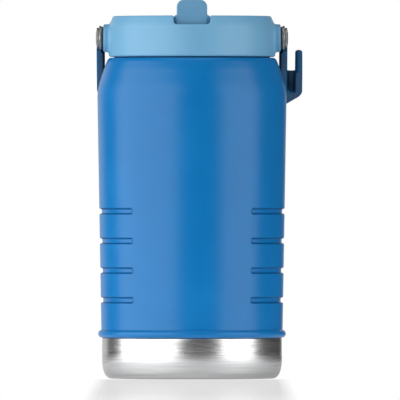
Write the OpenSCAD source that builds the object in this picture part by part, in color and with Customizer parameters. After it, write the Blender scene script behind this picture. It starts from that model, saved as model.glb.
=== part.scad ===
// Large insulated water jug: double-wall steel body, screw lid with a flip
// spout and drinking straw, and a swinging bail handle with a fence hook.
// Millimetres. +Z is up, the origin is the centre of the base on the table,
// -Y is the drinking side, and the hook is on the +X side.

/* [Body] */
// Height of the rim of the mouth above the table
rim_z = 221.3; // [219:0.1:224]
// Radius of the painted shell at the foot of the shoulder
shell_r = 65.3; // [65.0:0.05:65.4]
// Radius of the painted shell just above the bead
shell_low_r = 62.55; // [62.4:0.05:63.5]
// Sheet thickness of the painted shell
shell_t = 0.9; // [0.7:0.1:1.0]
// Radius of the bare steel base cup
base_r = 62.0; // [61.6:0.05:62.1]
// Height of the middle of the rolled bead
bead_z = 30.95; // [30:0.1:33]
// Radius of the rolled bead's own section
bead_s = 2.7; // [2.6:0.05:2.9]

/* [Grip grooves] */
// Number of grooves on each side
groove_n = 4; // [1:1:5]
// Height of the middle of the lowest groove
groove_z = 54.2; // [50:0.1:60]
// Distance from one groove to the next
groove_pitch = 20.4; // [16:0.1:22]
// Depth of a groove
groove_d = 1.7; // [0.8:0.1:2.2]
// Height of a groove
groove_h = 4.6; // [3:0.1:5]
// Angle that a groove covers round the side
groove_a = 96; // [60:1:100]

/* [Thread] */
// Rise of the lid in one full turn
lead = 12; // [12:1:12]
// Angle of the lid ridges that are cut as one arc
ridge_a = 46; // [30:1:50]

/* [Lid] */
// Outside radius of the lid
lid_r = 57.5; // [57.3:0.05:57.9]
// Height of the lid's flat top above the table
lid_top = 250; // [249.6:0.1:251]
// Width of the channel that the spout lies in
channel_w = 25.2; // [24.8:0.1:26]

/* [Spout] */
// Width of the spout and of its thumb tab
spout_w = 21.4; // [19:0.1:21.6]
// Height of the thumb tab's top above the table
tab_top = 260.8; // [256:0.1:264]
// Radius of the drinking passage
passage_r = 3.2; // [2.5:0.1:3.4]

/* [Handle] */
// Angle that the handle hangs below level when it is folded back
handle_tilt = 30; // [26:0.5:30]
// Width of the handle strap
strap_w = 18.4; // [16:0.1:18.6]
// Distance from the pivot to the outside of the grip
handle_l = 89; // [88.5:0.1:94]
// Clear width of the fence hook's slot
hook_gap = 5.4; // [4.5:0.1:7]

/* [Hidden] */
$fn = 96;

paint = [0.09, 0.43, 0.69];
lid_blue = [0.50, 0.74, 0.89];
handle_blue = [0.10, 0.30, 0.46];
steel = [0.72, 0.72, 0.71];
silicone = [0.60, 0.62, 0.64];

liner_t = 0.8;
mouth_r = 51.2;
cup_t = 0.8;
liner_z = 13;
liner_r_low = 55.5;
liner_r_top = 57.1;

lid_z = rim_z + 0.6;
pivot_z = rim_z + 13.5;
boss_r = 9.6;
boss_x = 61.1;
hub_y = 6;
hub_z = 242;
hub_r = 7.6;
spout_front = -51;
plug_r = 49.2;
plug_z = rim_z - 18.3;
arm_in = 60.2;
arm_out = 65.9;
prong_t = 5.05;
lug_in = 62.4;
lug_out = 64.0;

// points on an arc, from angle a0 to a1, as [r, z]
function arc(cx, cz, r, a0, a1, n) =
    [for (i = [0:n]) let (a = a0 + (a1 - a0) * i / n) [cx + r * cos(a), cz + r * sin(a)]];
// points on an ellipse arc
function oval(cx, cz, rx, rz, a0, a1, n) =
    [for (i = [0:n]) let (a = a0 + (a1 - a0) * i / n) [cx + rx * cos(a), cz + rz * sin(a)]];
// points on a quadratic curve
function quad(p, q, s, n) =
    [for (i = [0:n]) let (t = i / n) p * (1 - t) * (1 - t) + q * 2 * t * (1 - t) + s * t * t];
// points on a cubic curve
function cubic(p, q, s, e, n) =
    [for (i = [0:n]) let (t = i / n)
        p * pow(1 - t, 3) + q * 3 * t * pow(1 - t, 2) + s * 3 * t * t * (1 - t) + e * pow(t, 3)];

// radius of the shell's straight, slightly drafted wall at height z
function wall_r(z) =
    shell_low_r + (shell_r - 0.02 - shell_low_r) * (z - (bead_z + bead_s)) / (rim_z - 26.4 - bead_z - bead_s);

// the shell's outside from the bead to the rim, d inside the true surface
function shell_side(d) = concat(
    [[wall_r(bead_z + bead_s) - d, bead_z + bead_s + 0.3], [wall_r(rim_z - 34) - d, rim_z - 34]],
    cubic([shell_r - 0.05 - d, rim_z - 27.5], [shell_r + 0.05 - d, rim_z - 20.5],
          [shell_r - 2.3 - d, rim_z - 15.6], [shell_r - 4.35 - d, rim_z - 8.3 - d * 0.3], 10),
    cubic([shell_r - 5.2 - d, rim_z - 6.0 - d * 0.4], [shell_r - 6.6 - d, rim_z - 2.6 - d * 0.5],
          [shell_r - 7.0 - d, rim_z - d], [shell_r - 9.6 - d * 0.5, rim_z - d], 7));

// ------------------------------------------------------------------ body

// pressed groove, centred on the +X side; grow widens it on every side
module groove(z, grow) {
    r = wall_r(z);
    h = groove_h + 2 * grow;
    inner = r - groove_d - grow;
    translate([0, 0, z]) {
        rotate([0, 0, -groove_a / 2])
            rotate_extrude(angle = groove_a)
                polygon([[inner, -h / 2 + 0.7], [inner, h / 2 - 0.7], [inner + 0.7, h / 2], [r + 0.6, h / 2 + 0.4],
                         [r + 0.6, -h / 2 - 0.4], [inner + 0.7, -h / 2]]);
        // round ends, a little smaller and shallower than the groove itself
        for (s = [-1, 1])
            rotate([0, 0, s * groove_a / 2])
                translate([inner + 0.3, 0, 0]) rotate([0, 90, 0]) cylinder(r = h / 2 - 0.25, h = groove_d + grow + 0.6);
    }
}

// everything below the shell's outside, used to trim the pressed grooves
module shell_fill(d) {
    side = shell_side(d);
    rotate_extrude()
        polygon(concat([[0, bead_z + bead_s + 0.3]], side, [[0, side[len(side) - 1][1]]]));
}

module outer_shell() {
    // the bead is rolled outwards from the wall and curls back under
    bead_c = wall_r(bead_z + bead_s) - 0.5;
    outside = concat(arc(bead_c, bead_z, bead_s, -90, 74, 14), shell_side(0));
    n = len(outside);
    rim = outside[n - 1];
    inside = shell_side(shell_t);
    m = len(inside);
    back = concat([for (i = [m - 1:-1:0]) inside[i]], arc(bead_c, bead_z, bead_s - shell_t, 66, -90, 12));
    color(paint) difference() {
        union() {
            rotate_extrude() polygon(concat(outside, [[52, rim_z], [52, rim_z - shell_t]], back));
            intersection() {
                shell_fill(0.2);
                for (i = [0:groove_n - 1], side = [0, 180])
                    rotate([0, 0, side]) groove(groove_z + i * groove_pitch, shell_t);
            }
        }
        for (i = [0:groove_n - 1], side = [0, 180])
            rotate([0, 0, side]) groove(groove_z + i * groove_pitch, 0);
    }
}

module base_cup() {
    t = cup_t;
    // underside, foot ring, rounded heel, wall, then the joggle that goes up inside the shell
    outside = concat(
        [[1.0, 5.0], [5.6, 5.0], [6.6, 3.4], [45.2, 3.4], [47.4, 0.6], [48.6, 0]],
        [[base_r - 7.0, 0]],
        cubic([base_r - 6.5, 0], [base_r - 1.1, 0.2], [base_r, 8.0], [base_r, 13.5], 10),
        [[base_r, bead_z - bead_s - 0.5], [base_r - 0.85, bead_z - bead_s + 0.2], [base_r - 0.85, bead_z + 3.6],
         [wall_r(bead_z + 4.6) - shell_t - 0.02, bead_z + 4.6], [wall_r(bead_z + 9) - shell_t - 0.02, bead_z + 9]]);
    inside = concat(
        [[wall_r(bead_z + 9) - shell_t - t, bead_z + 9], [wall_r(bead_z + 4.6) - shell_t - t, bead_z + 5.0],
         [base_r - 0.85 - t, bead_z + 4.2], [base_r - 0.85 - t, bead_z - bead_s + 0.2], [base_r - t, bead_z - bead_s - 1.0]],
        cubic([base_r - t, 13.5], [base_r - t, 8.4], [base_r - 2.0, 1.0], [base_r - 6.5, t], 10),
        [[base_r - 7.0, t], [49.0, t], [47.9, 1.2], [45.7, 3.4 + t], [7.0, 3.4 + t], [6.0, 5.0 + t], [1.0, 5.0 + t]]);
    color(steel) rotate_extrude() polygon(concat(outside, inside));
}

module base_cover_disc() {
    color(steel) translate([0, 0, 2.6]) cylinder(r = 44, h = 0.75);
}

module vacuum_seal_plug() {
    color([0.25, 0.25, 0.28]) translate([0, 0, 3.5]) cylinder(r = 4.6, h = 1.45);
}

module getter() {
    color([0.35, 0.33, 0.30]) translate([22, 0, liner_z - liner_t - 2.9]) {
        cylinder(r = 6, h = 2.8);
        translate([0, 0, 0.9]) cylinder(r = 8, h = 0.6);
    }
}

// one arc of a screw ridge; root and tip are radii, centred on +X and tilted to the lead
module ridge(root, tip, angle) {
    tilt = atan(lead / (2 * PI * (root + tip) / 2));
    rotate([tilt, 0, 0]) rotate([0, 0, -angle / 2])
        rotate_extrude(angle = angle)
            polygon([[root, -1.3], [tip, -0.8], [tip, 0.8], [root, 1.3]]);
}

module inner_liner() {
    t = liner_t;
    inside = concat(
        [[0, liner_z]],
        arc(liner_r_low - 9, liner_z + 9, 9, -90, 0, 8),
        cubic([liner_r_top, rim_z - 30], [liner_r_top, rim_z - 23], [mouth_r + 0.9, rim_z - 19], [mouth_r, rim_z - 13.5], 10),
        [[mouth_r, rim_z]]);
    outside = concat(
        [[0, liner_z - t]],
        arc(liner_r_low - 9, liner_z + 9, 9 + t, -90, 0, 8),
        cubic([liner_r_top + t, rim_z - 30], [liner_r_top + t, rim_z - 22.7], [mouth_r + 0.9 + t, rim_z - 18.4], [mouth_r + t, rim_z - 13.5], 10),
        [[mouth_r + t, rim_z]]);
    n = len(outside);
    color(steel) union() {
        rotate_extrude() polygon(concat(inside, [for (i = [n - 1:-1:0]) outside[i]]));
        for (s = [0, 1], j = [0:4])
            rotate([0, 0, 180 * s + 60 * j]) translate([0, 0, rim_z - 12.3 + j * lead / 6])
                ridge(mouth_r + 0.4, mouth_r - 1.4, ridge_a + 4);
    }
}

// ------------------------------------------------------------------ lid

module lid_gasket() {
    color(silicone) rotate_extrude()
        polygon([[49.6, rim_z + 0.05], [53.4, rim_z + 0.05], [53.8, rim_z + 0.45], [53.8, rim_z + 1.2], [53.4, rim_z + 1.55],
                 [49.6, rim_z + 1.55]]);
}

module lid_skin() {
    step = lid_top - 6.8;
    rotate_extrude() polygon(concat(
        [[lid_r - 2.9, lid_z], [lid_r - 1.9, lid_z], [lid_r - 1.1, lid_z + 0.3], [lid_r - 0.5, lid_z + 0.9],
         [lid_r - 0.15, lid_z + 1.7], [lid_r, lid_z + 2.7], [lid_r, step],
         [lid_r - 2.75, lid_top - 0.7], [lid_r - 3.1, lid_top - 0.2], [lid_r - 3.6, lid_top]],
        [[0, lid_top], [0, lid_top - 2.6], [lid_r - 5.6, lid_top - 2.6], [lid_r - 2.9, step - 1.7]]));
}

module lid_shell() {
    half = channel_w / 2;
    color(lid_blue) difference() {
        union() {
            lid_skin();
            intersection() {
                translate([0, 0, lid_z]) cylinder(r = lid_r - 2, h = lid_top - lid_z - 1);
                union() {
                    translate([-half - 2.6, 2.6 - lid_r, 234.4]) cube([2 * half + 5.2, lid_r + 14.6, 13.4]);
                    translate([-half - 2.6, hub_y - hub_r - 4, 229.7]) cube([2 * half + 5.2, 2 * hub_r + 7.6, 18]);
                    translate([-half - 5.6, hub_y - 6, 236.4]) cube([2 * half + 11.2, 12, 11.4]);
                }
            }
            for (s = [-1, 1]) translate([0, 0, pivot_z]) rotate([0, s * 90, 0]) {
                translate([0, 0, lid_r - 2.5]) cylinder(r = boss_r, h = boss_x - 0.8 - lid_r + 2.5);
                translate([0, 0, boss_x - 0.8]) cylinder(r1 = boss_r, r2 = boss_r - 0.8, h = 0.8);
                translate([0, 0, 46]) cylinder(r = 6.8, h = 10);
            }
        }
        // channel that the spout lies in, and the deeper well for its hub
        translate([-half, -53.2, 237]) cube([2 * half, 53.2 + hub_y, 20]);
        translate([-half, hub_y - hub_r - 1.4, 232]) cube([2 * half, 2 * hub_r + 2.3, 25]);
        // notch in the front rim for the thumb
        translate([-half + 2.2, -62, 244]) cube([2 * half - 4.4, 14, 12]);
        translate([-half, -62, 246.2]) cube([2 * half, 14, 12]);
        for (s = [-1, 1]) translate([s * (half - 2.2), -62, 246.2]) rotate([-90, 0, 0]) cylinder(r = 2.2, h = 14);
        // drinking port and air port in the floor of the well
        translate([0, hub_y, 225]) cylinder(r = 6, h = 10);
        translate([9, hub_y, 225]) cylinder(r = 1, h = 10);
        // bores for the spout's stub pins
        for (s = [-1, 1]) translate([s * 11, hub_y, hub_z]) rotate([0, s * 90, 0]) cylinder(r = 1.5, h = 5.6);
        // bores for the threaded inserts and the bolts' shoulders
        for (s = [-1, 1]) translate([0, 0, pivot_z]) rotate([0, s * 90, 0]) {
            translate([0, 0, 44]) cylinder(r = 4, h = 15.2);
            translate([0, 0, 57]) cylinder(r = 3.55, h = 8);
        }
    }
}

module lid_plug() {
    color([0.80, 0.87, 0.91]) difference() {
        union() {
            rotate_extrude() polygon([
                [0, plug_z], [plug_r - 1.2, plug_z], [plug_r, plug_z + 1.2], [plug_r, rim_z + 1.6], [lid_r - 3.1, rim_z + 1.6],
                [lid_r - 3.1, rim_z + 4.6], [plug_r - 2.2, rim_z + 4.6], [plug_r - 2.2, plug_z + 2.4], [0, plug_z + 2.4]]);
            for (s = [0, 1], j = [0:3])
                rotate([0, 0, 180 * s + 60 * j]) translate([0, 0, rim_z - 14.7 + j * lead / 6])
                    ridge(plug_r - 0.6, plug_r + 1.5, ridge_a - 6);
        }
        // hole that the straw socket is pushed through
        translate([0, hub_y, plug_z - 1]) cylinder(r = 8.02, h = 5);
        translate([26, 18, plug_z - 1]) cylinder(r = 1.6, h = 5);
        for (a = [0:90:270])
            translate([26 + 3 * cos(a), 18 + 3 * sin(a), plug_z - 1]) cylinder(r = 0.7, h = 5);
    }
}

// Sleeve between the straw and the spout seal, gripping the plug's floor between two flanges.
module straw_socket() {
    color(silicone) difference() {
        union() {
            translate([0, hub_y, plug_z - 1.2]) cylinder(r = 7.98, h = 230.85 - plug_z);
            translate([0, hub_y, plug_z - 1.2]) cylinder(r = 9.4, h = 1.2);
            translate([0, hub_y, plug_z + 2.4]) cylinder(r = 10.2, h = 1.4);
        }
        translate([0, hub_y, plug_z - 3]) cylinder(r = 4.5, h = 21.9);
        translate([0, hub_y, plug_z + 18.8]) cylinder(r = 3.5, h = 10);
        translate([0, hub_y, 224]) cylinder(r = 5.95, h = 10);
    }
}

module vent_valve() {
    color(silicone) translate([26, 18, 0]) {
        rotate_extrude() polygon([[0, plug_z - 1.3], [2.5, plug_z - 1.2], [5, plug_z - 0.6], [5, plug_z], [0, plug_z]]);
        translate([0, 0, plug_z - 0.2]) cylinder(r = 1.5, h = 2.7);
        translate([0, 0, plug_z + 2.45]) cylinder(r1 = 2.3, r2 = 1.0, h = 2.4);
    }
}

module spout_seal() {
    color(silicone) difference() {
        union() {
            translate([-11.6, hub_y - 6, 232.05]) cube([23.2, 12, 5]);
            translate([0, hub_y, 224.1]) cylinder(r = 5.9, h = 9);
        }
        translate([-20, hub_y, hub_z]) rotate([0, 90, 0]) cylinder(r = hub_r + 0.15, h = 40);
        translate([0, hub_y, 220]) cylinder(r = 3.5, h = 20);
        translate([9, hub_y, 220]) cylinder(r = 1, h = 20);
    }
}

module spout_pins() {
    color(steel) for (s = [-1, 1])
        translate([s * 5.4, hub_y, hub_z]) rotate([0, s * 90, 0]) cylinder(r = 1.48, h = 11);
}

module straw_tube() {
    low = liner_z + 2.6;
    color([0.86, 0.91, 0.94]) difference() {
        translate([0, hub_y, low]) cylinder(r = 4.45, h = plug_z + 18.7 - low);
        translate([0, hub_y, low - 1]) cylinder(r = 3.5, h = 260);
        // slanted end, so that the straw can't seal itself against the floor
        translate([0, hub_y, low]) rotate([32, 0, 0]) translate([-10, -20, -12]) cube([20, 40, 12]);
    }
}

module pivot_insert(s) {
    color([0.78, 0.62, 0.30]) translate([s * 49.9, 0, pivot_z]) rotate([0, s * 90, 0]) difference() {
        cylinder(r = 3.98, h = 9.2);
        translate([0, 0, -1]) cylinder(r = 2.5, h = 12);
    }
}

module pivot_bolt(s) {
    x = lug_out + 0.08;
    color(steel) translate([0, 0, pivot_z]) rotate([0, s * 90, 0]) difference() {
        union() {
            translate([0, 0, 51]) cylinder(r = 2.46, h = 8.4);
            translate([0, 0, 59.3]) cylinder(r = 3.5, h = x - 59.2);
            // low domed head
            rotate_extrude() polygon(concat([[0, x], [6.6, x], [7.2, x + 0.5], [7.2, x + 1.1]],
                [for (i = [1:6]) let (a = 90 * i / 6) [7.2 * cos(a), x + 1.1 + 1.25 * sin(a)]]));
        }
        translate([0, 0, x + 0.6]) cylinder(r = 2.4, h = 5, $fn = 6);
    }
}

module pivot_washer(s) {
    color([0.08, 0.08, 0.09]) translate([0, 0, pivot_z]) rotate([0, s * 90, 0]) translate([0, 0, boss_x + 0.05]) difference() {
        cylinder(r = 8, h = lug_in - boss_x - 0.15);
        translate([0, 0, -1]) cylinder(r = 3.56, h = 4);
    }
}

// ------------------------------------------------------------------ spout

module spout() {
    w = spout_w / 2;
    color(lid_blue) difference() {
        union() {
            // hub
            translate([-channel_w / 2 + 0.4, hub_y, hub_z]) rotate([0, 90, 0]) cylinder(r = hub_r, h = channel_w - 0.8);
            // flattened tube, lying towards the front
            translate([-w, spout_front + 2, 237.7]) cube([2 * w, hub_y - spout_front - 2, 10.3]);
            // lip as wide as the notch, leaning back below its top edge
            translate([-channel_w / 2 + 0.5, 0, 0]) rotate([90, 0, 90]) linear_extrude(channel_w - 1)
                polygon([[spout_front + 6.5, 237.72], [spout_front + 2.2, 237.72], [spout_front + 1.6, 243], [spout_front + 0.6, 247],
                    [spout_front, 249.3], [spout_front + 0.6, 250.2], [spout_front + 3.2, 250.2], [spout_front + 6.5, 247.9]]);
            // thumb tab with rounded top corners
            translate([0, spout_front + 2.9, 0]) rotate([90, 0, 0]) linear_extrude(2.9)
                polygon(concat([[-w, 246], [w, 246]], arc(w - 4, tab_top - 4, 4, 0, 90, 8), arc(-w + 4, tab_top - 4, 4, 90, 180, 8)));
        }
        // drinking passage, and the flat outlet low in the front face
        translate([0, spout_front + 6, hub_z]) rotate([-90, 0, 0]) cylinder(r = passage_r, h = 70);
        translate([-5.4, spout_front - 1, 238.9]) cube([10.8, 9, 4.1]);
        // bores for the stub pins
        for (s = [-1, 1]) translate([s * 5, hub_y, hub_z]) rotate([0, s * 90, 0]) cylinder(r = 1.54, h = 12);
        // air slot in the hub, which opens the air port when the spout is up
        translate([8, hub_y + hub_r - 1, hub_z - 3]) cube([2, 3, 6]);
    }
}

// ------------------------------------------------------------------ handle

// puts a shape drawn with the pivot at the origin and the handle along +Y into its folded place
module folded() {
    translate([0, 0, pivot_z]) rotate([-handle_tilt, 0, 0]) children();
}

// outline of the bail and its fence hook, seen square on
function bail() = let (
    l = handle_l, a = 34.5, cx = arm_out - a, cy = l - a, ri = arm_in - cx, grip = 7.5,
    slot = arm_out + hook_gap, tip = slot + prong_t, floor = 58.4)
    concat(
        [[-arm_out, 1.5]], oval(-cx, cy, a, a, 180, 90, 14),
        quad([cx + 8.6, l], [cx + 22.05, l], [62, l - 9.7], 6),
        quad([tip - 3.25, l - 22.3], [tip, l - 26.0], [tip, l - 31], 5),
        [[tip, 32.6], [tip - 0.6, 31], [tip - 2.1, 30.3], [slot + 2.1, 30.3], [slot + 0.6, 31], [slot, 32.6]],
        [[slot, floor - 1.4], [slot - 0.4, floor - 0.4], [slot - 1.4, floor],
         [arm_out + 1.4, floor], [arm_out + 0.4, floor - 0.4], [arm_out, floor - 1.4]],
        [[arm_out, 1.5], [arm_in, 1.5]],
        oval(cx, cy, ri, a - grip, 0, 90, 12),
        oval(-cx, cy, ri, a - grip, 90, 180, 12),
        [[-arm_in, 1.5]]);

// stainless lug: eye round the bolt and a tongue held in the arm, with holes that key it
module lug(s, grow) {
    translate([s > 0 ? lug_in - grow : -lug_out - grow, 0, 0]) rotate([0, 90, 0]) difference() {
        union() {
            cylinder(r = 8.5 + grow, h = lug_out - lug_in + 2 * grow);
            translate([-5.5 - grow, 0, 0]) cube([11 + 2 * grow, 30 + grow, lug_out - lug_in + 2 * grow]);
        }
        for (v = [17, 25]) translate([0, v, -1]) cylinder(r = 2 - grow, h = 5);
    }
}

module handle_frame() {
    color(handle_blue) folded() difference() {
        translate([0, 0, -strap_w / 2]) linear_extrude(strap_w) polygon(bail());
        // round seats that let the arm hug the eye and clear the lid's boss
        for (s = [-1, 1]) rotate([0, s * 90, 0]) {
            translate([0, 0, arm_in - 1]) cylinder(r = 8.9, h = 9);
            translate([0, 0, arm_in - 1]) cylinder(r = 10.1, h = lug_in - 0.1 - arm_in + 1);
        }
        for (s = [-1, 1]) lug(s, 0.04);
    }
}

module handle_lug(s) {
    color(steel) folded() difference() {
        lug(s, 0);
        translate([s > 0 ? lug_in - 1 : -lug_out - 1, 0, 0]) rotate([0, 90, 0]) cylinder(r = 3.56, h = 4);
    }
}

outer_shell();
base_cup();
base_cover_disc();
vacuum_seal_plug();
getter();
inner_liner();
lid_gasket();
lid_shell();
lid_plug();
straw_socket();
vent_valve();
spout_seal();
spout_pins();
straw_tube();
pivot_insert(-1);  // pivot_insert_left
pivot_insert(1);  // pivot_insert_right
pivot_bolt(-1);  // pivot_bolt_left
pivot_bolt(1);  // pivot_bolt_right
pivot_washer(-1);  // pivot_washer_left
pivot_washer(1);  // pivot_washer_right
spout();
handle_frame();
handle_lug(-1);  // handle_lug_left
handle_lug(1);  // handle_lug_right
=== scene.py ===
import math
import bpy
import numpy as np
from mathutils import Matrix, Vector


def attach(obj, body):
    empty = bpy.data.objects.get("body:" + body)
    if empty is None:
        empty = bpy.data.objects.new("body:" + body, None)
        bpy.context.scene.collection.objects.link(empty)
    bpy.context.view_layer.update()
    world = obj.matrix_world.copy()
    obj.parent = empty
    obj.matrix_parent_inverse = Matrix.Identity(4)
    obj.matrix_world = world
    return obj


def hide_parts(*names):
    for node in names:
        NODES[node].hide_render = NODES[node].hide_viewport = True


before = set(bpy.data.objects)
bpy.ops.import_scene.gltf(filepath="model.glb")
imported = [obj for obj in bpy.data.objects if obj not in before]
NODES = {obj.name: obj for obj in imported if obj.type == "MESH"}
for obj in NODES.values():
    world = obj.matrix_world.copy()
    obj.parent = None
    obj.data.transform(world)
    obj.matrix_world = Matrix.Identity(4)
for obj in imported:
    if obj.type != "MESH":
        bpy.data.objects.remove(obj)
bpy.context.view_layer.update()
MM = 0.001
rng = np.random.default_rng(7)

# ---------------------------------------------------------------- dimensions (mm), the same as the CAD's
RIM = 221.3
SHELL_R, SHELL_LOW, SHELL_T = 65.3, 62.55, 0.9
BASE_R = 62.0
BEAD_Z, BEAD_S = 30.95, 2.7
GROOVES = [54.2 + 20.4 * i for i in range(4)]
GROOVE_D, GROOVE_H, GROOVE_A = 1.7, 4.6, 96.0
LID_R, LID_Z, LID_TOP = 57.5, RIM + 0.6, 250.0
CHANNEL = 25.2
PIVOT_Z = RIM + 13.5
BOSS_R, BOSS_X = 9.6, 61.1
HUB_Y, HUB_Z, HUB_R = 6.0, 242.0, 7.6
SPOUT_W, SPOUT_FRONT, TAB_TOP = 10.7, -51.0, 260.8
ARM_IN, ARM_OUT, STRAP, HANDLE_L = 60.2, 65.9, 18.4, 89.0
HOOK_GAP, PRONG_T = 5.4, 5.05
LUG_IN, LUG_OUT = 62.4, 64.0
TILT = math.radians(30)


# ---------------------------------------------------------------- mesh helpers
def new_mesh(name, verts, faces, normals=None, smooth=True):
    me = bpy.data.meshes.new(name)
    me.from_pydata((np.asarray(verts, float) * MM).tolist(), [], faces if isinstance(faces, list) else faces.tolist())
    me.update()
    me.polygons.foreach_set("use_smooth", [smooth] * len(me.polygons))
    if normals is not None:
        me.normals_split_custom_set_from_vertices(np.asarray(normals, float).tolist())
    ob = bpy.data.objects.new(name, me)
    bpy.context.scene.collection.objects.link(ob)
    return ob


def fillet(points, n=5):
    """Outline with rounded corners. points are (x, y, radius); a radius of 0 keeps the corner."""
    out = []
    m = len(points)
    for i, (x, y, r) in enumerate(points):
        p = np.array([x, y], float)
        a = np.array(points[i - 1][:2], float) - p
        b = np.array(points[(i + 1) % m][:2], float) - p
        la, lb = np.linalg.norm(a), np.linalg.norm(b)
        if r <= 0 or la < 1e-9 or lb < 1e-9:
            out.append(tuple(p))
            continue
        a, b = a / la, b / lb
        half = math.acos(max(-1, min(1, float(a @ b)))) / 2
        if half > math.pi / 2 - 0.01:
            out.append(tuple(p))
            continue
        t = min(r / math.tan(half), 0.49 * la, 0.49 * lb)
        r = t * math.tan(half)
        mid = a + b
        c = p + mid / np.linalg.norm(mid) * r / math.sin(half)
        s, e = p + a * t - c, p + b * t - c
        a0, a1 = math.atan2(s[1], s[0]), math.atan2(e[1], e[0])
        d = (a1 - a0 + math.pi) % (2 * math.pi) - math.pi
        k = max(2, int(math.ceil(abs(d) / (math.pi / 2) * n)))
        out += [(c[0] + r * math.cos(a0 + d * j / k), c[1] + r * math.sin(a0 + d * j / k)) for j in range(k + 1)]
    return out


def arc(cx, cy, rx, ry, a0, a1, n):
    return [(cx + rx * math.cos(math.radians(a0 + (a1 - a0) * i / n)), cy + ry * math.sin(math.radians(a0 + (a1 - a0) * i / n)))
            for i in range(n + 1)]


def cubic(p, q, s, e, n):
    p, q, s, e = (np.array(x, float) for x in (p, q, s, e))
    return [tuple(p * (1 - t) ** 3 + q * 3 * t * (1 - t) ** 2 + s * 3 * t * t * (1 - t) + e * t ** 3) for t in np.linspace(0, 1, n + 1)]


def lathe(name, profile, angles=192, offset=None, sharp=40):
    """Closed solid of revolution from a closed (r, z) loop. Points on the axis become one pole. offset(theta, r, z) moves a point out."""
    th = np.linspace(0, 2 * math.pi, angles, endpoint=False) if isinstance(angles, int) else np.asarray(angles, float)
    n = len(th)
    verts, rings = [], []
    for r, z in profile:
        if r < 1e-6:
            rings.append(("pole", len(verts)))
            verts.append((0.0, 0.0, z))
        else:
            rings.append(("ring", len(verts)))
            rr = np.full(n, r) + (offset(th, np.full(n, r), np.full(n, z)) if offset is not None else 0)
            verts += list(zip(rr * np.cos(th), rr * np.sin(th), np.full(n, z)))
    faces = []
    for i in range(len(profile)):
        (ka, a), (kb, b) = rings[i], rings[(i + 1) % len(profile)]
        if ka == "pole" and kb == "pole":
            continue
        for j in range(n):
            k = (j + 1) % n
            if ka == "pole":
                faces.append([a, b + k, b + j])
            elif kb == "pole":
                faces.append([a + j, a + k, b])
            else:
                faces.append([a + j, a + k, b + k, b + j])
    ob = new_mesh(name, verts, faces)
    fix_normals(ob)
    ob.data.set_sharp_from_angle(angle=math.radians(sharp))
    return ob


def fix_normals(ob):
    import bmesh
    bm = bmesh.new()
    bm.from_mesh(ob.data)
    bmesh.ops.recalc_face_normals(bm, faces=bm.faces[:])
    if bm.calc_volume(signed=True) < 0:
        bmesh.ops.reverse_faces(bm, faces=bm.faces[:])
    bm.to_mesh(ob.data)
    bm.free()


# ---------------------------------------------------------------- distance fields
def smin(a, b, k):
    h = np.maximum(k - np.abs(a - b), 0) / k
    return np.minimum(a, b) - h * h * k * 0.25


def smax(a, b, k):
    return -smin(-a, -b, k)


def f_box(p, c, half, r=0.0):
    q = [np.abs(p[i] - c[i]) - (half[i] - r) for i in range(3)]
    out = np.sqrt(sum(np.maximum(x, 0) ** 2 for x in q))
    return out + np.minimum(np.maximum(q[0], np.maximum(q[1], q[2])), 0) - r


def f_cyl(p, c, axis, rad, half, r=0.0):
    i, j = [k for k in range(3) if k != axis]
    d = np.hypot(p[i] - c[i], p[j] - c[j]) - (rad - r)
    h = np.abs(p[axis] - c[axis]) - (half - r)
    return np.hypot(np.maximum(d, 0), np.maximum(h, 0)) + np.minimum(np.maximum(d, h), 0) - r


def f_poly(x, y, pts):
    d = np.full(x.shape, 1e18)
    inside = np.zeros(x.shape, bool)
    m = len(pts)
    for i in range(m):
        ax, ay = pts[i]
        bx, by = pts[(i + 1) % m]
        ex, ey = bx - ax, by - ay
        l2 = ex * ex + ey * ey
        if l2 < 1e-14:
            continue
        wx, wy = x - ax, y - ay
        t = np.clip((wx * ex + wy * ey) / l2, 0, 1)
        d = np.minimum(d, (wx - ex * t) ** 2 + (wy - ey * t) ** 2)
        if ay != by:
            inside ^= ((ay <= y) != (by <= y)) & (x < ex * (y - ay) / ey + ax)
    return np.where(inside, -np.sqrt(d), np.sqrt(d))


def f_extrude(d2, h, r):
    """A flat outline's distance and the distance past its two faces, with edges rounded to r."""
    a, b = d2 + r, h + r
    return np.minimum(np.maximum(a, b), 0) + np.hypot(np.maximum(a, 0), np.maximum(b, 0)) - r


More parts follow.
